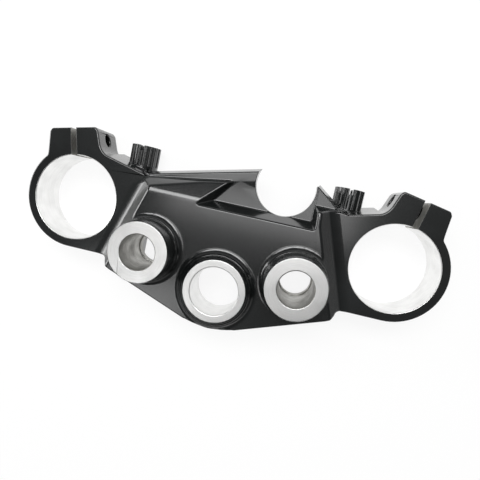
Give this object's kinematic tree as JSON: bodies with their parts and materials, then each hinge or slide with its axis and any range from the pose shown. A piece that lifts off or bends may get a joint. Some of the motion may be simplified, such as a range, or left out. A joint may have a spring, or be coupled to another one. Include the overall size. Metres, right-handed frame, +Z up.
{
  "type": "motorcycle upper triple clamp",
  "caption": "Cast upper fork clamp with split side clamps, a central stem boss, raised handlebar riser bosses and an offset switch notch, coated black with bare machined faces.",
  "frame": {"origin": "on the axis of the steering stem bore, at the underside of the stem boss", "axes": "+Z up along the stem bore, +Y towards the front of the motorcycle, +X towards the right fork"},
  "size_m": [0.2506, 0.0994, 0.0506],
  "materials": {
    "black_coating": "satin"
  },
  "bodies": {
    "root": {"clamp": "black_coating"}
  },
  "joints": []
}
